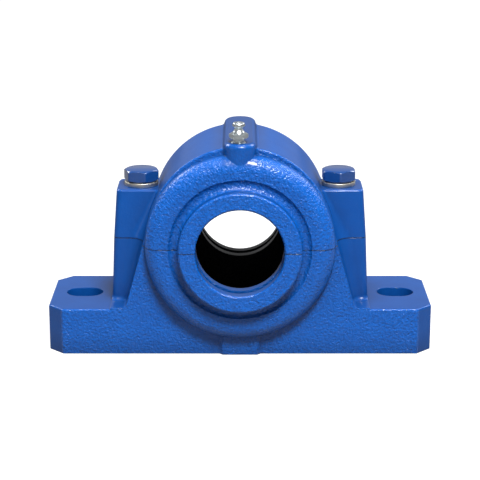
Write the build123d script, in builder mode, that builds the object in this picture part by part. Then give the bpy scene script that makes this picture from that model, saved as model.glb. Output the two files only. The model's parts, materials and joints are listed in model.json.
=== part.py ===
from build123d import *
import os
from math import cos, pi, radians, sin, tan

os.makedirs("parts", exist_ok=True)

# Split plummer block for a 45 mm shaft on an adapter sleeve, cast iron, cap held by two hexagon bolts.
# X runs along the foot, Y along the shaft, Z up. The origin is the middle of the foot's underside.

# ---- foot ----
foot_height = 25.0  # machined lands round the foundation slots
foot_clip = 8.0  # 45 degree corners in plan
raw_rise = 0.8  # unmachined foot top, above the lands
land_gap = 0.1  # from the column's root to the edge of the land
root_fillet = 2.5  # round the foot of web and columns
foot_edge = 1.0  # cast edge rounding
slot_length = 20.0
slot_width = 15.0
slot_room = 17.5  # from the column's outer side to the middle of the slot
slot_end = 17.5  # from there to the end of the foot

# ---- shaft passage and bearing seat ----
shaft_height = 60.0  # shaft axis and split plane
housing_length = 90.0  # over both hub faces
hub_stand = 15.0  # hub past the foot and the barrel, at each end
bore_radius = 23.25
bore_edge = 0.7
felt_radius = 29.0  # bottom of the felt groove
felt_inset = 8.1  # from the hub face to the groove's middle
felt_floor = 3.4
felt_mouth = 4.6
seat_radius = 45.0
seat_length = 41.0
chamber_step = 2.5  # shoulder at each side of the bearing seat, where the grease rooms begin
end_wall = 15.4

# ---- barrel and hub ----
roof_wall = 8.4  # over the bearing seat
crown_rise = 5.4  # centre of the barrel's round above the shaft axis
flank_angle = 15.5
barrel_edge = 0.9
shoulder_rise = 5.2  # outside the bearing seat
shoulder_round = 8.0
shoulder_stand = 8.2  # past the barrel
lip_radius = 37.6
dip_radius = 34.6
dip_depth = 1.0
hub_radius = 32.2
hub_edge = 0.8

# ---- bolt columns ----
bolt_side = 8.0  # from the bearing seat's wall to the bolt axis
column_side = 14.5  # from there to the column's outer side at the split
column_half = 14.5  # half depth at the split
column_rise = 26.0  # bolt seat above the split
column_corner = 3.0
draft_low = 2.4
draft_high = 4.0
column_edge = 0.8
valley_top = 2.0  # hollow between column and barrel: its radius under the bolt head
valley_face = 3.0  # flat left between the hollow at the split and the end of its backing
valley_gap = 0.15  # flat left between the hollow and the column's corner at the foot
valley_cover = 4.0  # barrel past the hollows' inner ends

# ---- centre ribs on the foot's long sides ----
rib_width = 18.4
rib_root = 22.0
rib_depth = 1.8

# ---- recesses under the foot ----
recess_depth = 15.0
recess_rim = 9.0
recess_wall = 6.0  # round the foundation slots
recess_floor = 6.5  # least iron between recess and bearing seat
recess_corner = 6.0
recess_draft = 3.0  # taper of the recess walls

# ---- grease pad on the crown ----
pad_width = 17.0
pad_rise = 2.6  # above the crown
pad_stand = 7.6  # past the barrel at each end
pad_edge = 2.6
pad_fillet = 2.0
nipple_inset = 6.8  # from the pad's front end
nipple_side = -0.7

# ---- M10 bolts, spring washers and dowels ----
thread_radius = 5.0
thread_clearance = 0.08
bolt_length = 50.0
bolt_flats = 17.0
bolt_head = 6.6
bolt_face = 0.95  # flat ring on top of the head, as a share of the flats
bolt_end = 1.0
bolt_collar = 0.6  # round washer face under the hexagon
bolt_collar_radius = 7.9
bolt_turn = {"left": 12.0, "right": 3.0}  # how far each head has come round when tight
clearance_radius = 5.5
tap_spare = 5.0  # tapped hole below the bolt's end
washer_radius = 9.05
washer_bore = 5.15
washer_thickness = 2.2
washer_gap = 1.2
washer_lean = 25.0
dowel_radius = 2.5
dowel_length = 16.0
dowel_out = 8.2  # from the bolt axis, outwards
dowel_side = 8.0  # from the bolt axis, along the shaft
dowel_clearance = 0.05
dowel_fit = 0.01
dowel_spare = 1.0
dowel_end = 0.4

# ---- M8 x 1 grease nipple ----
nipple_thread = 4.0
nipple_engaged = 5.0
nipple_stand = 2.3  # hexagon above the pad
nipple_flats = 9.0
nipple_hex = 2.5
nipple_root = 3.4  # foot of the cone above the hexagon
nipple_neck = 2.2
nipple_neck_height = 7.1  # above the pad
nipple_head = 3.3
nipple_head_height = 9.1
nipple_rounding = 0.5  # straight band round the head
nipple_rim = 2.2  # flat top
nipple_total = 10.5
nipple_bore = 1.6
nipple_spare = 1.0  # hole below the shank
mouth_radius = 0.9
mouth_length = 0.5
crimp_radius = 1.0
passage_radius = 1.4
passage_lean = 18.0  # towards the bearing
passage_length = 13.0
ball_radius = 1.3
ball_play = 0.03
spring_room = 6.8  # bore below the ball's seat
spring_wire = 0.3
spring_turns = 6

# ---- tolerance for picking edges and faces ----
near = 0.01
clear = 1.0

# ---- what follows from them ----
half_housing = housing_length / 2
half_foot = half_housing - hub_stand
shoulder_face = half_foot + shoulder_stand
felt_middle = half_housing - felt_inset
chamber_end = half_housing - end_wall
valley_reach = half_foot - valley_cover
raw_height = foot_height + raw_rise
crown_radius = seat_radius + roof_wall - crown_rise
crown_centre = shaft_height + crown_rise
shoulder_radius = seat_radius + shoulder_rise
chamber_radius = seat_radius - chamber_step
bolt_x = seat_radius + bolt_side
column_reach = bolt_x + column_side
column_top = shaft_height + column_rise
slot_x = column_reach + slot_room
foot_reach = slot_x + slot_end
pad_top = crown_centre + crown_radius + pad_rise
pad_reach = half_foot + pad_stand
nipple_offset = pad_reach - nipple_inset
column_drop = shaft_height - raw_height
split_plane = Plane.XY.offset(shaft_height)
valley_room = valley_reach - column_half - valley_face
shaft_axis = Axis((0, 0, shaft_height), (0, 1, 0))
head_bottom = column_top + washer_thickness


def flank_x(height):
    """Outer side of the barrel's sloping flank at a height."""
    return (crown_radius - (height - crown_centre) * sin(radians(flank_angle))) / cos(radians(flank_angle))


def valley_radius(height, reach, room):
    """Radius of the hollow between barrel and column: as much as both walls beside it leave room for."""
    ledge = reach - flank_x(height) - column_corner - valley_gap
    return min(ledge, room)


def barrel_section():
    """Barrel section above the split: two sloping flanks under a round crown."""
    touch_x = crown_radius * cos(radians(flank_angle))
    touch_z = crown_centre + crown_radius * sin(radians(flank_angle))
    side = flank_x(shaft_height)
    with BuildSketch(Plane.XZ) as section:
        with BuildLine():
            Line((-side, shaft_height), (side, shaft_height))
            Line((side, shaft_height), (touch_x, touch_z))
            ThreePointArc((touch_x, touch_z), (0, crown_centre + crown_radius), (-touch_x, touch_z))
            Line((-touch_x, touch_z), (-side, shaft_height))
        make_face()
    return section.sketch


def body_section(height, web_x, web_half, reach, half_depth, valley):
    """Plan section of the body: a wide web with a narrower bolt column at each end."""
    with BuildSketch(Plane.XY.offset(height)) as section:
        Rectangle(2 * web_x, 2 * web_half)
        Rectangle(2 * reach, 2 * half_depth)
        fillet(section.vertices().filter_by(lambda v: abs(abs(v.X) - reach) < near), column_corner)
        inner = section.vertices().filter_by(lambda v: abs(abs(v.Y) - half_depth) < near)
        fillet(inner.filter_by(lambda v: abs(abs(v.X) - web_x) < near), valley)
    return section.sketch


def hub_section():
    """Half section of hub, groove and shoulder, as radius from the shaft axis and distance along it."""
    dip = shoulder_face - dip_depth
    hub_start = shoulder_face + dip_depth
    flat_end = shoulder_radius - shoulder_round
    round_end = shoulder_face - shoulder_round
    bulge = shoulder_round * sin(pi / 4)
    with BuildSketch(split_plane) as section:
        for end in (1, -1):
            with BuildLine():
                Polyline(
                    (lip_radius, end * shoulder_face),
                    (flat_end, end * shoulder_face),
                )
                ThreePointArc(
                    (flat_end, end * shoulder_face),
                    (flat_end + bulge, end * (round_end + bulge)),
                    (shoulder_radius, end * round_end),
                )
                Polyline(
                    (shoulder_radius, end * round_end),
                    (shoulder_radius, 0),
                    (0, 0),
                    (0, end * half_housing),
                    (hub_radius - hub_edge, end * half_housing),
                    (hub_radius, end * (half_housing - hub_edge)),
                    (hub_radius, end * hub_start),
                )
                ThreePointArc(
                    (hub_radius, end * hub_start), (dip_radius, end * dip), (lip_radius, end * shoulder_face)
                )
            make_face()
    return section.sketch


def core_section():
    """Half section of the empty inside: bores, felt grooves, grease rooms and bearing seat."""
    seat_end = seat_length / 2
    floor_half = felt_floor / 2
    mouth_half = felt_mouth / 2
    half = [
        (seat_radius, seat_end),
        (chamber_radius, seat_end),
        (chamber_radius, chamber_end),
        (bore_radius, chamber_end),
        (bore_radius, felt_middle - mouth_half),
        (felt_radius, felt_middle - floor_half),
        (felt_radius, felt_middle + floor_half),
        (bore_radius, felt_middle + mouth_half),
        (bore_radius, half_housing - bore_edge),
        (bore_radius + bore_edge, half_housing),
        (0, half_housing),
    ]
    with BuildSketch(split_plane) as section:
        with BuildLine():
            Polyline(*[(r, -y) for r, y in reversed(half)], *half, close=True)
        make_face()
    return section.sketch


valley_split = valley_radius(shaft_height, column_reach, valley_room)

# ---- base: foot, web, lower half of the hub and the two bolt columns ----
with BuildPart() as base:
    with BuildSketch() as foot_plan:
        Rectangle(2 * foot_reach, 2 * half_foot)
        chamfer(foot_plan.vertices(), foot_clip)
    extrude(amount=raw_height)
    fillet(base.edges().filter_by(Axis.Z), foot_edge)
    # web and columns, spreading down to the foot
    spread = column_drop * tan(radians(draft_low))
    low_reach = column_reach + spread
    low_half = column_half + spread
    low_flank = flank_x(raw_height)
    valley_foot = valley_radius(raw_height, low_reach, half_foot - low_half)
    low_section = body_section(raw_height, low_flank, half_foot, low_reach, low_half, valley_foot)
    top_section = body_section(
        shaft_height, flank_x(shaft_height), half_foot, column_reach, column_half, valley_split
    )
    loft([low_section, top_section], ruled=True)
    roots = base.edges().filter_by(lambda e: abs(e.center().Z - raw_height) < near)
    roots = roots.filter_by(lambda e: abs(e.center().Y) < half_foot - clear)
    fillet(roots.filter_by(lambda e: abs(e.center().X) < low_reach), root_fillet)
    # machined lands on top of the foot's ends
    land_start = low_reach + land_gap
    land_length = foot_reach - land_start
    with BuildSketch(Plane.XY.offset(foot_height)):
        for side in (-1, 1):
            with Locations((side * (land_start + land_length / 2), 0)):
                Rectangle(land_length, 2 * half_foot)
    extrude(amount=2 * raw_rise, mode=Mode.SUBTRACT)
    rims = base.edges().filter_by(lambda e: abs(e.center().Z - foot_height) < near)
    fillet(rims.filter_by(lambda e: abs(e.center().X) > land_start + clear), foot_edge)
    # hub and shoulder
    revolve(hub_section(), axis=shaft_axis)
    split(bisect_by=split_plane, keep=Keep.BOTTOM)
    # centre ribs
    rib_slope = (rib_root - rib_width) / 2
    with BuildSketch():
        with BuildLine():
            Polyline(
                (-rib_root / 2, half_foot),
                (-rib_width / 2, half_foot + rib_depth),
                (rib_width / 2, half_foot + rib_depth),
                (rib_root / 2, half_foot),
                (rib_root / 2, -half_foot),
                (rib_width / 2, -half_foot - rib_depth),
                (-rib_width / 2, -half_foot - rib_depth),
                (-rib_root / 2, -half_foot),
                close=True,
            )
        make_face()
    extrude(amount=raw_height)
    # empty inside
    revolve(core_section(), axis=shaft_axis, mode=Mode.SUBTRACT)
    # foundation slots
    with BuildSketch():
        with GridLocations(2 * slot_x, 0, 2, 1):
            SlotOverall(slot_length, slot_width)
    extrude(amount=raw_height, mode=Mode.SUBTRACT)
    # recesses under the foot, beside the bearing seat
    recess_out = slot_x - slot_length / 2 - recess_wall
    recess_reach = seat_radius + recess_floor
    seat_depth = min(shaft_height - recess_depth, recess_reach)
    recess_in = max(rib_root / 2 + recess_wall, (recess_reach**2 - seat_depth**2) ** 0.5)
    with BuildSketch():
        for side in (-1, 1):
            with Locations((side * (recess_in + recess_out) / 2, 0)):
                RectangleRounded(recess_out - recess_in, 2 * (half_foot - recess_rim), recess_corner)
    extrude(amount=recess_depth, taper=recess_draft, mode=Mode.SUBTRACT)
    # tapped holes for the cap bolts
    thread_depth = bolt_length - (head_bottom - shaft_height) + tap_spare
    with Locations(split_plane):
        with GridLocations(2 * bolt_x, 0, 2, 1):
            Hole(thread_radius, depth=thread_depth)
    # dowel holes, one at each end, on opposite sides of the bolts
    with Locations(split_plane):
        with Locations((-bolt_x - dowel_out, dowel_side), (bolt_x + dowel_out, -dowel_side)):
            Hole(dowel_radius + dowel_fit, depth=dowel_length / 2)

base.part.label = "base"
export_step(base.part, "parts/base.step")

# ---- cap: upper half of the barrel and hub, bolt lugs and grease pad ----
with BuildPart() as cap:
    extrude(barrel_section(), amount=half_foot, both=True)
    rims = cap.edges().filter_by(lambda e: abs(abs(e.center().Y) - half_foot) < near)
    fillet(rims.filter_by(lambda e: e.center().Z > shaft_height + clear), barrel_edge)
    # lugs over the columns, with hollows that widen towards the split
    shrink = column_rise * tan(radians(draft_high))
    barrel_x = (crown_radius**2 - (column_top - crown_centre) ** 2) ** 0.5
    low_section = body_section(
        shaft_height, flank_x(shaft_height), valley_reach, column_reach, column_half, valley_split
    )
    top_section = body_section(
        column_top, barrel_x, valley_reach, column_reach - shrink, column_half - shrink, valley_top
    )
    loft([low_section, top_section], ruled=True)
    # grease pad
    with BuildSketch(split_plane.offset(chamber_radius)):
        SlotOverall(2 * pad_reach, pad_width, rotation=90)
    extrude(amount=pad_top - shaft_height - chamber_radius)
    flanks = cap.edges().filter_by(Axis.Y)
    flanks = flanks.filter_by(lambda e: abs(abs(e.center().X) - pad_width / 2) < near)
    fillet(flanks.filter_by(lambda e: e.center().Z < pad_top - clear), pad_fillet)
    # hub and shoulder
    revolve(hub_section(), axis=shaft_axis)
    split(bisect_by=split_plane, keep=Keep.TOP)
    # broken edges on the lugs, soft edge on the pad
    lug_tops = cap.faces().filter_by(Axis.Z).filter_by(lambda f: abs(f.center().Z - column_top) < near)
    lug_rims = lug_tops.edges().filter_by(lambda e: abs(e.center().X) > bolt_x - clearance_radius)
    chamfer(lug_rims, column_edge)
    fillet(cap.faces().filter_by(Axis.Z).sort_by(Axis.Z)[-1].edges(), pad_edge)
    # empty inside
    revolve(core_section(), axis=shaft_axis, mode=Mode.SUBTRACT)
    # bolt clearance holes
    with Locations(Plane.XY.offset(column_top)):
        with GridLocations(2 * bolt_x, 0, 2, 1):
            Hole(clearance_radius, depth=column_rise)
    # dowel holes
    with Locations(split_plane.rotated((180, 0, 0))):
        with Locations((-bolt_x - dowel_out, -dowel_side), (bolt_x + dowel_out, dowel_side)):
            Hole(dowel_radius + dowel_clearance, depth=dowel_length / 2 + dowel_spare)
    # tapped hole for the nipple, and the leaning passage down to the grease room
    nipple_hole = nipple_engaged + nipple_spare
    with Locations((nipple_side, -nipple_offset, pad_top)):
        Hole(nipple_thread, depth=nipple_hole)
    lean = radians(passage_lean)
    passage_top = (nipple_side, -nipple_offset, pad_top - nipple_hole)
    passage_start = Plane(passage_top, z_dir=(0, -sin(lean), cos(lean)))
    with Locations(passage_start):
        Hole(passage_radius, depth=passage_length)

cap.part.label = "cap"
export_step(cap.part, "parts/cap.step")

# ---- cap bolts, with the thread left as a plain shank ----
flat_reach = bolt_flats / 2
corner_reach = flat_reach / cos(pi / 6)
cone_reach = corner_reach + clear
face_reach = bolt_face * flat_reach
for name, side in (("left", -1), ("right", 1)):
    turn = radians(30 + bolt_turn[name])
    seat = Plane((side * bolt_x, 0, head_bottom), x_dir=(cos(turn), sin(turn), 0))
    with BuildPart() as bolt:
        with BuildSketch(seat.offset(bolt_collar)):
            RegularPolygon(flat_reach, 6, major_radius=False)
        extrude(amount=bolt_head - bolt_collar)
        # thirty degree cone that takes off the top corners
        with BuildSketch(Plane(seat.origin, x_dir=(1, 0, 0), z_dir=(0, -1, 0))):
            with BuildLine():
                Polyline(
                    (0, 0),
                    (cone_reach, 0),
                    (cone_reach, bolt_head - (cone_reach - face_reach) * tan(pi / 6)),
                    (face_reach, bolt_head),
                    (0, bolt_head),
                    close=True,
                )
            make_face()
        revolve(axis=Axis(seat.origin, (0, 0, 1)), mode=Mode.INTERSECT)
        with BuildSketch(seat):
            Circle(bolt_collar_radius)
        extrude(amount=bolt_collar)
        with BuildSketch(seat):
            Circle(thread_radius - thread_clearance)
        extrude(amount=-bolt_length)
        chamfer(bolt.faces().sort_by(Axis.Z)[0].edges(), bolt_end)
    bolt.part.label = f"cap_bolt_{name}"
    export_step(bolt.part, f"parts/cap_bolt_{name}.step")

# ---- spring lock washers, tightened flat, with their leaning slit at the back ----
for name, side in (("left", -1), ("right", 1)):
    lean = washer_thickness * tan(radians(washer_lean))
    with BuildPart() as washer:
        with BuildSketch(Plane((side * bolt_x, 0, column_top))):
            Circle(washer_radius)
            Circle(washer_bore, mode=Mode.SUBTRACT)
        extrude(amount=washer_thickness)
        with BuildSketch(Plane((side * bolt_x, 0, column_top), x_dir=(-1, 0, 0), z_dir=(0, 1, 0))):
            with BuildLine():
                Polyline(
                    (-lean / 2 - washer_gap / 2, 0),
                    (-lean / 2 + washer_gap / 2, 0),
                    (lean / 2 + washer_gap / 2, washer_thickness),
                    (lean / 2 - washer_gap / 2, washer_thickness),
                    close=True,
                )
            make_face()
        extrude(amount=2 * washer_radius, mode=Mode.SUBTRACT)
    washer.part.label = f"spring_washer_{name}"
    export_step(washer.part, f"parts/spring_washer_{name}.step")

# ---- dowels that line the cap up with the base ----
for name, side in (("left", -1), ("right", 1)):
    with BuildPart() as dowel:
        dowel_x = side * (bolt_x + dowel_out)
        foot_of_dowel = Plane((dowel_x, -side * dowel_side, shaft_height - dowel_length / 2))
        with BuildSketch(foot_of_dowel):
            Circle(dowel_radius)
        extrude(amount=dowel_length)
        chamfer(dowel.edges(), dowel_end)
    dowel.part.label = f"dowel_pin_{name}"
    export_step(dowel.part, f"parts/dowel_pin_{name}.step")

# ---- grease nipple ----
nipple_top = pad_top + nipple_total
nipple_foot = pad_top - nipple_engaged
hex_bottom = pad_top + nipple_stand
hex_top = hex_bottom + nipple_hex
cone_start = nipple_top - mouth_length - (nipple_bore - mouth_radius)
spring_foot = cone_start - spring_room
nipple_axis = Axis((nipple_side, -nipple_offset, 0), (0, 0, 1))
nipple_section = Plane(nipple_axis.position, x_dir=(1, 0, 0), z_dir=(0, -1, 0))
with BuildPart() as nipple:
    with BuildSketch(Plane((nipple_side, -nipple_offset, hex_bottom))):
        RegularPolygon(nipple_flats / 2, 6, major_radius=False)
    extrude(amount=nipple_hex)
    # shank, neck and head
    with BuildSketch(nipple_section):
        with BuildLine():
            Polyline(
                (0, nipple_foot),
                (nipple_thread - thread_clearance, nipple_foot),
                (nipple_thread - thread_clearance, hex_top),
                (nipple_root, hex_top),
                (nipple_neck, pad_top + nipple_neck_height),
                (nipple_head, pad_top + nipple_head_height - nipple_rounding),
                (nipple_head, pad_top + nipple_head_height),
                (nipple_rim, nipple_top),
                (0, nipple_top),
                close=True,
            )
        make_face()
    revolve(axis=nipple_axis)
    # grease way: crimped foot, spring and ball room, conical seat and mouth
    with BuildSketch(nipple_section):
        with BuildLine():
            Polyline(
                (0, nipple_foot),
                (crimp_radius, nipple_foot),
                (crimp_radius, spring_foot),
                (nipple_bore, spring_foot),
                (nipple_bore, cone_start),
                (mouth_radius, nipple_top - mouth_length),
                (mouth_radius, nipple_top),
                (0, nipple_top),
                close=True,
            )
        make_face()
    revolve(axis=nipple_axis, mode=Mode.SUBTRACT)

nipple.part.label = "grease_nipple"
export_step(nipple.part, "parts/grease_nipple.step")

# ---- check ball, just under its 45 degree seat ----
ball_height = cone_start + nipple_bore - (ball_radius + ball_play) * 2**0.5
with BuildPart() as ball:
    with Locations((nipple_side, -nipple_offset, ball_height)):
        Sphere(ball_radius)

ball.part.label = "nipple_ball"
export_step(ball.part, "parts/nipple_ball.step")

# ---- spring under the ball ----
coil_radius = ball_radius - spring_wire / 2
wire_reach = ball_radius + spring_wire / 2 + ball_play
spring_head = ball_height - (wire_reach**2 - coil_radius**2) ** 0.5
spring_start = spring_foot + spring_wire / 2 + ball_play
coil_height = spring_head - spring_start
with BuildPart() as spring:
    with BuildLine(Plane((nipple_side, -nipple_offset, spring_start))) as coil:
        Helix(coil_height / spring_turns, coil_height, coil_radius)
    with BuildSketch(Plane(coil.line @ 0, z_dir=coil.line % 0)):
        Circle(spring_wire / 2)
    sweep(path=coil.line, is_frenet=True)

spring.part.label = "nipple_spring"
export_step(spring.part, "parts/nipple_spring.step")
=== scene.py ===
import json
import math
import bpy
import numpy as np
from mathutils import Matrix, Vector


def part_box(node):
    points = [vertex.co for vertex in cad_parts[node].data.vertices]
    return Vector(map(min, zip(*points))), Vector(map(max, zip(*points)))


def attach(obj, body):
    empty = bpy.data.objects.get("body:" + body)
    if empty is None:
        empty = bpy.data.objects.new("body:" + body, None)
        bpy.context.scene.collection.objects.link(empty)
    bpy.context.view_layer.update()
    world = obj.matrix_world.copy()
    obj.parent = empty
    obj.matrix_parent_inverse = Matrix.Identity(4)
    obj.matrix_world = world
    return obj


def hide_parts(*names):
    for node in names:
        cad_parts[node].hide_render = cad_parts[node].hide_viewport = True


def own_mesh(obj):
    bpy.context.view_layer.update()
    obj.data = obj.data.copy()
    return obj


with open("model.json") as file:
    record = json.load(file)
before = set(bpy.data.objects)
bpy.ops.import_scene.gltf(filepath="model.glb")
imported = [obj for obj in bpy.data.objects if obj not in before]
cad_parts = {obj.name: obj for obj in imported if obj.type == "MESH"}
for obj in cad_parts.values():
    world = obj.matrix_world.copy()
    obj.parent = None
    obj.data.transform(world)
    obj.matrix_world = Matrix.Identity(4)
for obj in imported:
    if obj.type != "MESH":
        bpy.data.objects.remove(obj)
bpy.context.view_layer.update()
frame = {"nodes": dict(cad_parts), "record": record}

mm = 0.001
mounts = {mount["name"]: mount for mount in frame["record"]["mounts"]}
shaftZ = mounts["shaft_bore"]["pos_m"][2]
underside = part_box("base")[0].z
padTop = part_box("cap")[1].z


def circle(count, start=0.0):
    return start + np.arange(count) * 2 * math.pi / count


def ring(center, angles, radius, z):
    # points round an upright axis; radius and height are one number, or one for each angle
    radius = np.broadcast_to(radius, angles.shape)
    z = np.broadcast_to(z, angles.shape)
    return np.stack([center[0] + radius * np.cos(angles), center[1] + radius * np.sin(angles), z], 1)


def turnedRings(center, angles, profile):
    return [ring(center, angles, radius, z) for radius, z in profile]


def uprightAxis(low, high):
    return (low.x + high.x) / 2, (low.y + high.y) / 2


def hexReach(angles, flats, start, cornerCut):
    # distance from the axis to a hexagon's side, with the corners taken off a little
    half = flats / 2
    local = np.mod(angles - start + 1e-9, math.pi / 3) - math.pi / 6
    return np.minimum(half / np.cos(local), half / math.cos(math.pi / 6) - cornerCut)


# both threads: flanks steeper than a plain triangle's, with crests and roots cut flat
threadForm = {"steep": 1.3, "cut": 0.18, "stepsPerTurn": 10}


def threadReach(angles, climb, spec):
    # distance from the axis to a thread's surface, at this height above its lower end
    turn = np.mod(climb / spec["pitch"] - angles / (2 * math.pi), 1)
    ridge = np.clip(threadForm["steep"] * (1 - np.abs(2 * turn - 1)) - threadForm["cut"], 0, 1)
    return spec["crest"] - spec["depth"] * (1 - ridge)


def skin(name, loops, closed=False):
    # faces between loops of points; an open skin gets a flat face at each end
    count = len(loops[0])
    verts = np.concatenate(loops)
    faces = []
    for i in range(len(loops) if closed else len(loops) - 1):
        a, b = i * count, (i + 1) % len(loops) * count
        faces += [(a + j, a + (j + 1) % count, b + (j + 1) % count, b + j) for j in range(count)]
    if not closed:
        faces.append(tuple(reversed(range(count))))
        faces.append(tuple(range(len(verts) - count, len(verts))))
    mesh = bpy.data.meshes.new(name)
    mesh.from_pydata(verts.tolist(), [], faces)
    mesh.validate()
    return mesh


def addPiece(name, mesh, body, material, sharpAngle=32):
    mesh.materials.append(material)
    mesh.shade_smooth()
    mesh.set_sharp_from_angle(angle=math.radians(sharpAngle))
    piece = bpy.data.objects.new(name, mesh)
    bpy.context.scene.collection.objects.link(piece)
    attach(piece, body)
    return piece


def newMaterial(name, spec, metallic=0.0):
    material = bpy.data.materials.new(name)
    material.use_nodes = True
    shader = material.node_tree.nodes["Principled BSDF"]
    shader.inputs["Base Color"].default_value = (*spec["color"], 1)
    shader.inputs["Roughness"].default_value = spec["roughness"]
    shader.inputs["Metallic"].default_value = metallic
    shader.inputs["Coat Weight"].default_value = spec.get("coat", 0.0)
    shader.inputs["Coat Roughness"].default_value = spec.get("coatRoughness", 0.1)
    return material, shader


def addNode(material, kind, **inputs):
    node = material.node_tree.nodes.new(kind)
    for key, value in inputs.items():
        node.inputs[key.replace("_", " ")].default_value = value
    return node


def link(material, output, socket):
    material.node_tree.links.new(output, socket)


def calc(material, operation, *operands):
    # one math node; each operand is a number or another node's output
    node = material.node_tree.nodes.new("ShaderNodeMath")
    node.operation = operation
    for socket, value in zip(node.inputs, operands):
        if isinstance(value, (int, float)):
            socket.default_value = value
        else:
            link(material, value, socket)
    return node.outputs[0]


def between(material, mask, first, second):
    # first where the mask is 0, second where it is 1
    return calc(material, "MULTIPLY_ADD", mask, second - first, first)


def step(material, value, low, high):
    # 0 at low, 1 at high and beyond, smooth between them
    node = addNode(material, "ShaderNodeMapRange", From_Min=low, From_Max=high)
    node.interpolation_type = "SMOOTHSTEP"
    link(material, value, node.inputs["Value"])
    return node.outputs["Result"]


def grain(material, coords, size, detail):
    node = addNode(material, "ShaderNodeTexNoise", Scale=1 / size, Detail=detail, Roughness=0.5)
    link(material, coords, node.inputs["Vector"])
    return node.outputs["Fac"]


def mixColor(material, share, first, second):
    # each color is three numbers or another node's output
    node = material.node_tree.nodes.new("ShaderNodeMix")
    node.data_type = "RGBA"
    link(material, share, node.inputs[0])
    for socket, color in ((node.inputs[6], first), (node.inputs[7], second)):
        if isinstance(color, tuple):
            socket.default_value = (*color, 1)
        else:
            link(material, color, socket)
    return node.outputs[2]


def bareMetal(name, finish):
    # bright metal, duller in patches
    material, shader = newMaterial(name, finish, 1.0)
    coords = addNode(material, "ShaderNodeTexCoord").outputs["Object"]
    patches = grain(material, coords, finish["patchSize"], finish["patchDetail"])
    roughness = calc(material, "MULTIPLY_ADD", patches, finish["patchRange"], finish["smoothest"])
    link(material, roughness, shader.inputs["Roughness"])
    return material


# glossy enamel over cast iron, bare iron inside and on the joint faces
enamel = {
    "color": (0.002, 0.086, 0.405),
    "pale": (0.003, 0.115, 0.505),
    "paleSize": 9 * mm,
    "paleDetail": 3,
    "specular": 0.20,
    "coat": 0.5,
    "coatRoughness": 0.07,
    "smoothCoat": 0.5,  # share of the coat that is left where the casting is smooth
    "roughness": 0.30,
    "smoothRoughness": 0.44,
    "peelSize": 1.35 * mm,
    "peelDetail": 1.5,
    "pitSize": 0.7 * mm,
    "pitDetail": 2.0,
    "pitShare": 0.45,
    "reliefMiddle": 0.725,
    "peelHeight": 0.85 * mm,
    "glossHeight": 0.42 * mm,
    "smoothPeel": 0.08,  # shares of the relief that are left on smooth, machined and nose faces
    "flatPeel": 0.2,
    "nosePeel": 0.3,
    "smoothTone": 0.66,  # shares of the color's brightness that are left there
    # painted shade on level faces
    "paintedLevelShade": 0.85,
    # painted shade on the nose front
    "paintedNoseShade": 0.75,
    # painted shade in the pits and painted light on the bumps
    "paintedReliefShade": 0.5,
    "edgeRadius": 0.7 * mm,
    "samples": 8,
    # painted shade in the hollows: how far it reaches and how dark it gets
    "paintedShadeReach": 13 * mm,
    "paintedShadeInHollows": 0.66,
    "seam": 0.22 * mm,
    "seamSpread": 1.6,
    "seamDark": 0.75,
    "castFrom": 28.6 * mm,  # along the shaft, the rough end faces fade in between these
    "castTo": 30.2 * mm,
    "endFacing": (0.2, 0.5),
    "flatFacing": (0.93, 0.985),
    "noseFrom": padTop - 13 * mm,
    "noseFade": 3 * mm,
    "noseOuter": 10 * mm,
    "noseInner": 8.4 * mm,
    "roomReach": 45.6 * mm,  # seat and grease rooms, bare inside
    "roomHalf": 29.8 * mm,
    "boreReach": 29.3 * mm,  # far bore and its felt groove
    "boreFrom": 29.0 * mm,
    "boreTo": 44.2 * mm,
    "jointHalf": 0.12 * mm,
    "jointFacing": 0.95,
    "bareIron": (0.012, 0.012, 0.014),
    "machinedIron": (0.20, 0.20, 0.20),
}


def placeOnCasting(material):
    # where a point lies from the middle of the shaft, and which way it faces
    coords = addNode(material, "ShaderNodeTexCoord").outputs["Object"]
    place = addNode(material, "ShaderNodeSeparateXYZ")
    link(material, coords, place.inputs[0])
    x, y, z = place.outputs
    facing = addNode(material, "ShaderNodeSeparateXYZ")
    link(material, addNode(material, "ShaderNodeNewGeometry").outputs["Normal"], facing.inputs[0])
    rise = calc(material, "SUBTRACT", z, shaftZ)
    squares = calc(material, "ADD", calc(material, "MULTIPLY", x, x), calc(material, "MULTIPLY", rise, rise))
    return {
        "coords": coords,
        "across": calc(material, "ABSOLUTE", x),
        "along": y,
        "depth": calc(material, "ABSOLUTE", y),
        "height": z,
        "fromSplit": calc(material, "ABSOLUTE", rise),
        "fromShaft": calc(material, "SQRT", squares),
        "endOn": calc(material, "ABSOLUTE", facing.outputs[1]),
        "up": calc(material, "ABSOLUTE", facing.outputs[2]),
    }


def bareIron(material, at, spec):
    # where the paint ends, and the iron's color there
    room = calc(material, "MULTIPLY", calc(material, "LESS_THAN", at["fromShaft"], spec["roomReach"]),
                calc(material, "LESS_THAN", at["depth"], spec["roomHalf"]))
    bore = calc(material, "MULTIPLY", calc(material, "GREATER_THAN", at["along"], spec["boreFrom"]),
                calc(material, "LESS_THAN", at["along"], spec["boreTo"]))
    bore = calc(material, "MULTIPLY", calc(material, "LESS_THAN", at["fromShaft"], spec["boreReach"]), bore)
    joint = calc(material, "MULTIPLY", calc(material, "LESS_THAN", at["fromSplit"], spec["jointHalf"]),
                 calc(material, "GREATER_THAN", at["up"], spec["jointFacing"]))
    bare = calc(material, "MAXIMUM", calc(material, "MAXIMUM", room, bore), joint)
    return bare, mixColor(material, joint, spec["bareIron"], spec["machinedIron"])


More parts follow.
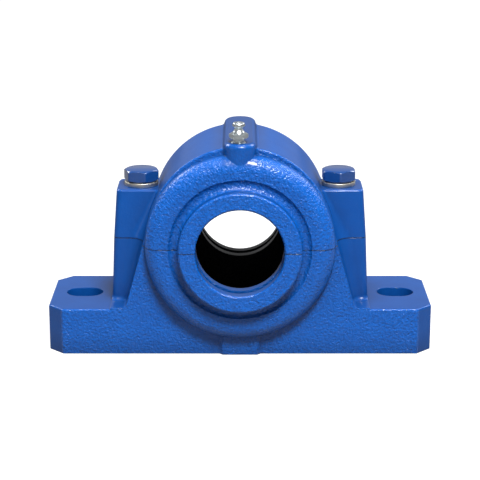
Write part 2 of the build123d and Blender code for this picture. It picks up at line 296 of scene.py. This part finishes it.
def castingMaterial(name, spec):
    material, shader = newMaterial(name, spec)
    shader.inputs["Specular IOR Level"].default_value = spec["specular"]
    at = placeOnCasting(material)

    # rough as cast at both ends, smoother on barrel, columns and nose, machined where it faces up
    cast = calc(material, "MULTIPLY", step(material, at["depth"], spec["castFrom"], spec["castTo"]),
                step(material, at["endOn"], *spec["endFacing"]))
    flat = step(material, at["up"], *spec["flatFacing"])
    nose = calc(material, "MULTIPLY",
                step(material, at["height"], spec["noseFrom"], spec["noseFrom"] + spec["noseFade"]),
                step(material, at["across"], spec["noseOuter"], spec["noseInner"]))
    rough = between(material, cast, spec["smoothPeel"], 1)
    rough = calc(material, "MULTIPLY", rough, between(material, flat, 1, spec["flatPeel"]))
    rough = calc(material, "MULTIPLY", rough, between(material, nose, 1, spec["nosePeel"]))
    roughness = between(material, cast, spec["smoothRoughness"], spec["roughness"])
    link(material, roughness, shader.inputs["Roughness"])

    # orange peel and casting pits, weaker in the clear coat than in the paint
    peel = grain(material, at["coords"], spec["peelSize"], spec["peelDetail"])
    peel = calc(material, "SUBTRACT", peel, spec["reliefMiddle"])
    pits = grain(material, at["coords"], spec["pitSize"], spec["pitDetail"])
    relief = calc(material, "MULTIPLY_ADD", pits, spec["pitShare"], peel)
    relief = calc(material, "MULTIPLY", relief, rough)
    rounded = addNode(material, "ShaderNodeBevel", Radius=spec["edgeRadius"])
    rounded.samples = spec["samples"]
    for height, socket in (("peelHeight", "Normal"), ("glossHeight", "Coat Normal")):
        bump = addNode(material, "ShaderNodeBump", Strength=1.0, Distance=spec[height])
        link(material, relief, bump.inputs["Height"])
        link(material, rounded.outputs["Normal"], bump.inputs["Normal"])
        link(material, bump.outputs["Normal"], shader.inputs[socket])

    # painted shade in the hollows, in the pits, on level faces and on the nose, with painted light on the
    # bumps; darker along the split and on smooth faces
    paintedHollowShade = addNode(material, "ShaderNodeAmbientOcclusion", Distance=spec["paintedShadeReach"])
    paintedHollowShade.samples = spec["samples"]
    seam = step(material, at["fromSplit"], spec["seam"] * spec["seamSpread"], spec["seam"])
    shade = between(material, paintedHollowShade.outputs["AO"], 1 - spec["paintedShadeInHollows"], 1)
    for tone in (
        between(material, seam, 1, 1 - spec["seamDark"]),
        between(material, cast, spec["smoothTone"], 1),
        # painted shade on the nose front
        between(material, nose, 1, spec["paintedNoseShade"]),
        # painted shade on level faces
        between(material, flat, 1, spec["paintedLevelShade"]),
        # painted shade in the pits, painted light on the bumps
        between(material, relief, 1, 1 + spec["paintedReliefShade"]),
    ):
        shade = calc(material, "MULTIPLY", shade, tone)
    patches = grain(material, at["coords"], spec["paleSize"], spec["paleDetail"])
    paint = addNode(material, "ShaderNodeVectorMath")
    paint.operation = "SCALE"
    link(material, mixColor(material, patches, spec["color"], spec["pale"]), paint.inputs[0])
    link(material, shade, paint.inputs["Scale"])

    bare, iron = bareIron(material, at, spec)
    link(material, mixColor(material, bare, paint.outputs[0], iron), shader.inputs["Base Color"])
    painted = between(material, bare, spec["coat"], 0)
    sheen = between(material, calc(material, "MAXIMUM", cast, flat), spec["smoothCoat"], 1)
    link(material, calc(material, "MULTIPLY", painted, sheen), shader.inputs["Coat Weight"])
    return material


castingPaint = castingMaterial("castingPaint", enamel)
for node in ("base", "cap"):
    frame["nodes"][node].data.materials.clear()
    frame["nodes"][node].data.materials.append(castingPaint)
print("casting paint ready")

# cap bolts: painted hexagon head over a bare rolled thread
bolt = {
    "flats": 17.0 * mm,
    "turned": {"left": 48.0, "right": 33.0},  # degrees, as each head stands when tight
    "cornerCut": 0.25 * mm,
    "face": 0.95,  # flat top and underside, as a share of the width over flats
    "underSlope": 18.0,
    "bevel": 30.0,
    "collar": 7.9 * mm,
    "collarHeight": 0.6 * mm,
    "collarEdge": 0.1 * mm,
    "lowerEdge": (0.08 * mm, 0.10 * mm),  # each edge is broken by this much, inward and along the bolt
    "upperEdge": (0.10 * mm, 0.14 * mm),
    "topEdge": (0.16 * mm, 0.06 * mm),
    "crest": 4.92 * mm,
    "depth": 0.85 * mm,
    "pitch": 1.5 * mm,
    "tip": 1.2 * mm,
    "tipSlope": 0.9,
    "around": 96,
    "threadAround": 48,
    "paint": {
        "color": (0.004, 0.047, 0.20),
        "roughness": 0.3,
        "coat": 0.75,
        "coatRoughness": 0.10,
        "peelSize": 1.6 * mm,
        "peelDetail": 3,
        "peelHeight": 0.05 * mm,
        "peelStrength": 0.5,
    },
    "thread": {
        "color": (0.30, 0.29, 0.27),
        "roughness": 0.38,
        "smoothest": 0.3,
        "patchRange": 0.2,
        "patchSize": 1.2 * mm,
        "patchDetail": 3,
    },
}


def boltPaintMaterial(name, spec):
    material, shader = newMaterial(name, spec)
    coords = addNode(material, "ShaderNodeTexCoord").outputs["Object"]
    bump = addNode(material, "ShaderNodeBump", Strength=spec["peelStrength"], Distance=spec["peelHeight"])
    link(material, grain(material, coords, spec["peelSize"], spec["peelDetail"]), bump.inputs["Height"])
    link(material, bump.outputs["Normal"], shader.inputs["Normal"])
    return material


def boltHeadMesh(name, center, low, high, start, spec):
    # round collar, then the hexagon, sloped a little below and bevelled above
    angles = circle(spec["around"], start)
    reach = hexReach(angles, spec["flats"], start, spec["cornerCut"])
    face = spec["face"] * spec["flats"] / 2
    under = (reach - face) * math.tan(math.radians(spec["underSlope"]))
    over = (reach - face) * math.tan(math.radians(spec["bevel"]))
    hexLow = low + spec["collarHeight"]
    return skin(name, turnedRings(center, angles, (
        (spec["collar"] - spec["collarEdge"], low),
        (spec["collar"], low + spec["collarEdge"]),
        (spec["collar"], hexLow),
        (face, hexLow),
        (reach - spec["lowerEdge"][0], hexLow + under),
        (reach, hexLow + under + spec["lowerEdge"][1]),
        (reach, high - over - spec["upperEdge"][1]),
        (reach - spec["upperEdge"][0], high - over),
        (face, high - spec["topEdge"][1]),
        (face - spec["topEdge"][0], high),
    )))


def boltThreadMesh(name, center, low, high, spec):
    angles = circle(spec["threadAround"])
    rise = spec["pitch"] / threadForm["stepsPerTurn"]
    loops = []
    for z in np.arange(low, high + rise / 2, rise):
        point = spec["crest"] - max(0, spec["tip"] - (z - low)) * spec["tipSlope"]
        reach = np.minimum(threadReach(angles, z - low, spec), point)
        loops.append(ring(center, angles, reach, min(z, high)))
    return skin(name, loops)


boltPaint = boltPaintMaterial("boltPaint", bolt["paint"])
threadSteel = bareMetal("threadSteel", bolt["thread"])
for side in ("left", "right"):
    low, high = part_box("cap_bolt_" + side)
    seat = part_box("spring_washer_" + side)[1].z
    center = uprightAxis(low, high)
    start = math.radians(bolt["turned"][side])
    mesh = boltHeadMesh("boltHead_" + side, center, seat, high.z, start, bolt)
    head = addPiece("boltHead_" + side, mesh, "bolt_" + side, boltPaint)
    mesh = boltThreadMesh("boltThread_" + side, center, low.z, seat, bolt)
    addPiece("boltThread_" + side, mesh, "bolt_" + side, threadSteel)
    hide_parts("cap_bolt_" + side)
print("bolts ready")

# spring washers, split at the back
washer = {
    "corner": 0.35 * mm,
    "cornerSteps": 4,
    "gap": 1.2 * mm,
    "lean": 25.0,
    "bore": 5.15 * mm,
    "around": 121,
    "steel": {
        "color": (0.60, 0.57, 0.50),
        "roughness": 0.42,
        "smoothest": 0.32,
        "patchRange": 0.2,
        "patchSize": 0.9 * mm,
        "patchDetail": 4,
    },
}


def washerMesh(name, center, low, high, outer, spec):
    # rounded section, swept from one side of the slit to the other; the slit leans with height
    soft = spec["corner"]
    corners = (
        (outer - soft, low + soft),
        (outer - soft, high - soft),
        (spec["bore"] + soft, high - soft),
        (spec["bore"] + soft, low + soft),
    )
    section = []
    for i, (radius, z) in enumerate(corners):
        for quarter in np.linspace(0, 90, spec["cornerSteps"]):
            turn = math.radians(-90 + 90 * i + quarter)
            section.append((radius + soft * math.cos(turn), z + soft * math.sin(turn)))
    radii, heights = np.array(section).T
    middle = (outer + spec["bore"]) / 2
    halfGap = spec["gap"] / 2 / middle
    shear = (heights - (low + high) / 2) * math.tan(math.radians(spec["lean"])) / middle
    sweep = np.linspace(2 * math.pi - halfGap, halfGap, spec["around"])
    return skin(name, [ring(center, math.pi / 2 + turn - shear, radii, heights) for turn in sweep])


washerSteel = bareMetal("washerSteel", washer["steel"])
for side in ("left", "right"):
    low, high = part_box("spring_washer_" + side)
    outer = (high.x - low.x) / 2
    center = ((low.x + high.x) / 2, low.y + outer)  # the slit makes the box a little short at the back
    mesh = washerMesh("washer_" + side, center, low.z, high.z, outer, washer)
    piece = addPiece("washer_" + side, mesh, "washer_" + side, washerSteel)
    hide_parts("spring_washer_" + side)
print("washers ready")

# grease nipple: short thread in the pad, hexagon, necked head with the grease way down its middle
nipple = {
    "crest": 3.92 * mm,
    "depth": 0.5 * mm,
    "pitch": 1.0 * mm,
    "tip": 0.6 * mm,
    "threadOut": 0.3 * mm,  # above the pad, the thread ends and the shank begins
    "shankOut": 0.5 * mm,
    "shank": 2.9 * mm,
    "flats": 9.0 * mm,
    "cornerCut": 0.15 * mm,
    "face": 0.94,
    "bevel": 30.0,
    "stand": 2.3 * mm,
    "hex": 2.5 * mm,
    "root": 3.4 * mm,
    "neck": 2.2 * mm,
    "neckHeight": 7.1 * mm,
    "head": 3.3 * mm,
    "headHeight": 8.9 * mm,
    "rim": 2.2 * mm,
    "mouth": 0.9 * mm,
    "mouthEdge": 0.1 * mm,
    "mouthLength": 0.5 * mm,
    "bore": 1.6 * mm,
    "room": 6.8 * mm,
    "crimp": 1.0 * mm,
    "around": 96,
    "coneRings": 8,
    "swellStart": 0.1,  # share of the way up, to leave out a ring that is there already
    "swellRings": 9,
    "domeStart": 0.15,
    "domeRings": 8,
    "zinc": {
        "color": (0.60, 0.65, 0.67),
        "roughness": 0.32,
        "smoothest": 0.29,
        "patchRange": 0.08,
        "patchSize": 3 * mm,
        "patchDetail": 2,
    },
}


def swell(t):
    # from 0 to 1, level at both ends
    return (1 - math.cos(math.pi * t)) / 2


def nippleMesh(name, center, low, high, pad, spec):
    angles = circle(spec["around"])
    loops = []
    for z in np.arange(low, pad + spec["threadOut"], spec["pitch"] / threadForm["stepsPerTurn"]):
        point = spec["crest"] - max(0, spec["tip"] - (z - low))
        loops.append(ring(center, angles, np.minimum(threadReach(angles, z - low, spec), point), z))
    # shank and hexagon
    reach = hexReach(angles, spec["flats"], 0, spec["cornerCut"])
    face = spec["face"] * spec["flats"] / 2
    slope = (reach - face) * math.tan(math.radians(spec["bevel"]))
    hexLow = pad + spec["stand"]
    hexHigh = hexLow + spec["hex"]
    profile = [
        (spec["shank"], pad + spec["shankOut"]),
        (spec["shank"], hexLow),
        (face, hexLow),
        (reach, hexLow + slope),
        (reach, hexHigh - slope),
        (face, hexHigh),
    ]
    # cone to the neck, then the round head
    neckZ = pad + spec["neckHeight"]
    headZ = pad + spec["headHeight"]
    for t in np.linspace(0, 1, spec["coneRings"]):
        radius = spec["root"] + (spec["neck"] - spec["root"]) * (t + swell(t)) / 2
        profile.append((radius, hexHigh + (neckZ - hexHigh) * t))
    for t in np.linspace(spec["swellStart"], 1, spec["swellRings"]):
        radius = spec["neck"] + (spec["head"] - spec["neck"]) * swell(t)
        profile.append((radius, neckZ + (headZ - neckZ) * t))
    for t in np.linspace(spec["domeStart"], 1, spec["domeRings"]):
        turn = t * math.pi / 2
        profile.append((spec["rim"] + (spec["head"] - spec["rim"]) * math.cos(turn),
                        headZ + (high - headZ) * math.sin(turn)))
    # down the grease way
    coneLow = high - spec["mouthLength"] - (spec["bore"] - spec["mouth"])
    profile += [
        (spec["mouth"] + spec["mouthEdge"], high),
        (spec["mouth"], high - spec["mouthEdge"]),
        (spec["mouth"], high - spec["mouthLength"]),
        (spec["bore"], coneLow),
        (spec["bore"], coneLow - spec["room"]),
        (spec["crimp"], coneLow - spec["room"]),
        (spec["crimp"], low),
    ]
    return skin(name, loops + turnedRings(center, angles, profile), True)


nippleZinc = bareMetal("nippleZinc", nipple["zinc"])
low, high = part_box("grease_nipple")
mesh = nippleMesh("nipple", uprightAxis(low, high), low.z, high.z, padTop, nipple)
piece = addPiece("nipple", mesh, "housing_cap", nippleZinc)
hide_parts("grease_nipple")
print("nipple ready")

# dowels in the joint face; their ground steel is also the ball's and its spring's
dowel = {
    "end": 0.4 * mm,
    "soft": 0.08 * mm,
    "around": 48,
    "steel": {
        "color": (0.62, 0.62, 0.62),
        "roughness": 0.22,
        "smoothest": 0.16,
        "patchRange": 0.14,
        "patchSize": 0.6 * mm,
        "patchDetail": 4,
    },
}


def dowelMesh(name, center, low, high, radius, spec):
    tip = radius - spec["end"]
    return skin(name, turnedRings(center, circle(spec["around"]), (
        (tip - spec["soft"], low),
        (tip, low + spec["soft"] / 2),
        (radius, low + spec["end"]),
        (radius, high - spec["end"]),
        (tip, high - spec["soft"] / 2),
        (tip - spec["soft"], high),
    )))


groundSteel = bareMetal("groundSteel", dowel["steel"])
for side in ("left", "right"):
    low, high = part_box("dowel_pin_" + side)
    radius = (high.x - low.x) / 2
    mesh = dowelMesh("dowel_" + side, uprightAxis(low, high), low.z, high.z, radius, dowel)
    piece = addPiece("dowel_" + side, mesh, "housing_base", groundSteel)
    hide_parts("dowel_pin_" + side)

ball = frame["nodes"]["nipple_ball"]
ball.data.materials.clear()
ball.data.materials.append(groundSteel)

# the spring under the ball, built as one fixed coil; in the nipple the ball presses it together as it goes
# down
coil = {"wire": 0.3 * mm, "turns": 6, "stepsPerTurn": 28, "around": 12, "sharpAngle": 60}


def coilMesh(name, center, low, high, outer, spec):
    wire = spec["wire"] / 2
    radius = outer - wire
    rise = high - low - 2 * wire
    slant = rise / spec["turns"] / (2 * math.pi * radius)
    foot = np.array((*center, low + wire))
    angles = circle(spec["around"])
    loops = []
    for t in np.linspace(0, 1, spec["turns"] * spec["stepsPerTurn"] + 1):
        turn = t * spec["turns"] * 2 * math.pi
        outward = np.array((math.cos(turn), math.sin(turn), 0))
        upward = np.array((slant * math.sin(turn), -slant * math.cos(turn), 1)) / math.hypot(slant, 1)
        middle = foot + radius * outward + np.array((0, 0, rise * t))
        loops.append(middle + wire * (np.outer(np.sin(angles), outward) + np.outer(np.cos(angles), upward)))
    return skin(name, loops)


low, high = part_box("nipple_spring")
center = uprightAxis(low, high)
mesh = coilMesh("nippleCoil", center, low.z, high.z, (high.x - low.x) / 2, coil)
piece = addPiece("nippleCoil", mesh, "housing_cap", groundSteel, coil["sharpAngle"])
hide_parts("nipple_spring")
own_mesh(piece)
print("small parts ready")

# floor: white to the eye, dimmer in reflections, with the shadow left on it
ground = {
    "reach": 12.0,
    "color": (0.20, 0.20, 0.20),
    "roughness": 0.8,
    "specular": 0.1,
    "glow": 0.94,
    "beyond": 0.06,  # share of the glow that shiny surfaces see everywhere
    "nearby": 0.20,  # and what is added to it close to the housing
    "fadeStart": 0.12,
    "fadeEnd": 0.32,
}


def floorMaterial(name, spec):
    material, shader = newMaterial(name, spec)
    shader.inputs["Specular IOR Level"].default_value = spec["specular"]
    shader.inputs["Emission Color"].default_value = (1, 1, 1, 1)
    rays = addNode(material, "ShaderNodeLightPath")
    away = addNode(material, "ShaderNodeVectorMath")
    away.operation = "LENGTH"
    link(material, addNode(material, "ShaderNodeTexCoord").outputs["Object"], away.inputs[0])
    near = step(material, away.outputs["Value"], spec["fadeEnd"], spec["fadeStart"])
    mirrored = calc(material, "MAXIMUM", rays.outputs["Is Glossy Ray"], rays.outputs["Is Transmission Ray"])
    share = calc(material, "MULTIPLY_ADD", near, spec["nearby"], spec["beyond"])
    seen = calc(material, "MULTIPLY", mirrored, share)
    seen = calc(material, "MAXIMUM", rays.outputs["Is Camera Ray"], seen)
    link(material, calc(material, "MULTIPLY", seen, spec["glow"]), shader.inputs["Emission Strength"])
    return material


reach = ground["reach"]
corners = [(-reach, -reach, 0), (reach, -reach, 0), (reach, reach, 0), (-reach, reach, 0)]
floorMesh = bpy.data.meshes.new("floor")
floorMesh.from_pydata(corners, [], [(0, 1, 2, 3)])
floorMesh.materials.append(floorMaterial("floorPale", ground))
floor = bpy.data.objects.new("floor", floorMesh)
floor.location.z = underside
bpy.context.scene.collection.objects.link(floor)
print("floor ready")

view = {"lens": 118.725, "sensor": 36, "place": (0, -0.8269, 0.29573), "pitch": 73.745}
camera = bpy.data.objects.new("camera", bpy.data.cameras.new("camera"))
camera.data.lens = view["lens"]
camera.data.sensor_width = view["sensor"]
camera.location = view["place"]
camera.rotation_euler = (math.radians(view["pitch"]), 0, 0)
bpy.context.scene.collection.objects.link(camera)
bpy.context.scene.camera = camera
bpy.context.scene.view_settings.view_transform = "Standard"

# softboxes, each turned towards the middle of the shaft
lamps = {
    "key": {"place": (0.18, -0.66, 1.00), "size": (0.40, 0.24), "power": 21.5},
    "overhead": {"place": (0.13, -0.12, 0.78), "size": (0.28, 0.03), "power": 1.4},
    "overheadLeft": {"place": (-0.24, -0.14, 0.72), "size": (0.18, 0.03), "power": 0.6},
    "leftFill": {"place": (-0.9, -0.6, 0.40), "size": (0.3, 0.3), "power": 0.5},
    "rearLeft": {"place": (-0.95, 0.70, 0.90), "size": (0.5, 0.4), "power": 8.0},
    "rearRight": {"place": (1.00, 0.65, 0.90), "size": (0.5, 0.4), "power": 8.0},
}
for name, spec in lamps.items():
    softbox = bpy.data.lights.new(name, "AREA")
    softbox.shape = "RECTANGLE"
    softbox.size, softbox.size_y = spec["size"]
    softbox.energy = spec["power"]
    lamp = bpy.data.objects.new(name, softbox)
    lamp.location = spec["place"]
    lamp.rotation_euler = (Vector((0, 0, shaftZ)) - lamp.location).to_track_quat("-Z", "Y").to_euler()
    bpy.context.scene.collection.objects.link(lamp)

# room light, dimmer overhead than round the sides
room = {
    "color": (0.97, 0.98, 1.0, 1),
    "side": 0.16,
    "overhead": 0.10,
    "riseFrom": 0.1,
    "riseTo": 0.9,
    "backdrop": 0.24,  # added behind the housing, for shiny surfaces alone
    "backFrom": 0.1,
    "backTo": 0.8,
    "glow": 1.03,  # what the camera sees of the room
}
sky = bpy.data.worlds.new("sky")
bpy.context.scene.world = sky
sky.use_nodes = True
light = sky.node_tree.nodes["Background"]
light.inputs["Color"].default_value = room["color"]
direction = addNode(sky, "ShaderNodeSeparateXYZ")
link(sky, addNode(sky, "ShaderNodeTexCoord").outputs["Generated"], direction.inputs[0])
fade = addNode(sky, "ShaderNodeMapRange", From_Min=room["riseFrom"], From_Max=room["riseTo"],
               To_Min=room["side"], To_Max=room["overhead"])
link(sky, direction.outputs[2], fade.inputs["Value"])
behind = addNode(sky, "ShaderNodeMapRange", From_Min=room["backFrom"], From_Max=room["backTo"],
                 To_Max=room["backdrop"])
link(sky, direction.outputs[1], behind.inputs["Value"])
rays = addNode(sky, "ShaderNodeLightPath")
mirrored = calc(sky, "MAXIMUM", rays.outputs["Is Glossy Ray"], rays.outputs["Is Transmission Ray"])
strength = calc(sky, "MULTIPLY_ADD", mirrored, behind.outputs["Result"], fade.outputs["Result"])
shown = calc(sky, "MULTIPLY", rays.outputs["Is Camera Ray"], room["glow"])
link(sky, calc(sky, "MAXIMUM", strength, shown), light.inputs["Strength"])
print("studio ready")
